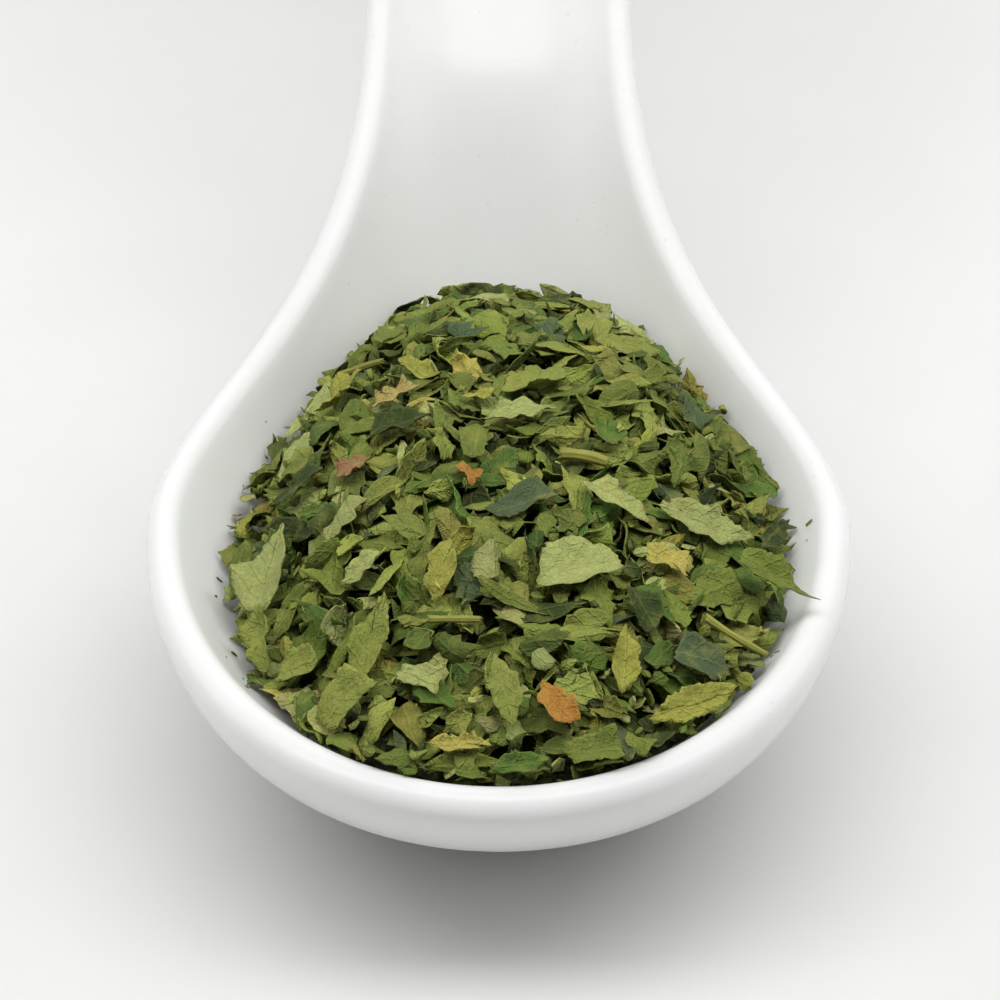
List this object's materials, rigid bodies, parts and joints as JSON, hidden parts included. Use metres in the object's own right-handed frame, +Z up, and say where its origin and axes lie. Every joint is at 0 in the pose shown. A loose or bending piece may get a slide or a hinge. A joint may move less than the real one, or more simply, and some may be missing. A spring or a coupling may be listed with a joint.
{
  "type": "spoon of dried parsley flakes",
  "caption": "Flat-based white porcelain soup spoon with a rising channelled handle, its bowl heaped with dried parsley flakes.",
  "frame": {"origin": "middle of the spoon's length and width, on the surface that its flat base rests on", "axes": "+Z up; +Y along the spoon, from the tip of the bowl to the end of the handle; +X to the right when seen from the tip"},
  "size_m": [0.044, 0.122, 0.0528],
  "materials": {
    "porcelain": "clear glossy glaze over white porcelain",
    "green_leaf": "matte dried leaf",
    "yellowed_leaf": "matte dried leaf, yellowed",
    "browned_leaf": "matte dried leaf, browned",
    "dry_stem": "matte dried stem, finely ribbed"
  },
  "bodies": {
    "root": {"spoon": "porcelain", "flake_heap": "green_leaf", "leaf_flake_1": "green_leaf", "leaf_flake_2": "green_leaf", "leaf_flake_3": "green_leaf", "leaf_flake_4": "green_leaf", "leaf_flake_5": "green_leaf", "leaf_flake_6": "green_leaf", "leaf_flake_7": "green_leaf", "leaf_flake_8": "green_leaf", "leaf_flake_9": "green_leaf", "leaf_flake_10": "green_leaf", "leaf_flake_11": "green_leaf", "leaf_flake_12": "green_leaf", "leaf_flake_13": "green_leaf", "leaf_flake_14": "green_leaf", "leaf_flake_15": "green_leaf", "leaf_flake_16": "green_leaf", "leaf_flake_17": "green_leaf", "leaf_flake_18": "green_leaf", "leaf_flake_19": "green_leaf", "leaf_flake_20": "green_leaf", "leaf_flake_21": "green_leaf", "leaf_flake_22": "green_leaf", "leaf_flake_23": "green_leaf", "leaf_flake_24": "green_leaf", "leaf_flake_25": "green_leaf", "leaf_flake_26": "green_leaf", "leaf_flake_27": "green_leaf", "leaf_flake_28": "green_leaf", "leaf_flake_29": "green_leaf", "yellowed_flake_1": "yellowed_leaf", "yellowed_flake_2": "yellowed_leaf", "yellowed_flake_3": "yellowed_leaf", "yellowed_flake_4": "yellowed_leaf", "yellowed_flake_5": "yellowed_leaf", "yellowed_flake_6": "yellowed_leaf", "browned_flake_1": "browned_leaf", "browned_flake_2": "browned_leaf", "browned_flake_3": "browned_leaf", "stem_bit_1": "dry_stem", "stem_bit_2": "dry_stem", "stem_bit_3": "dry_stem", "stem_bit_4": "dry_stem"}
  },
  "joints": []
}
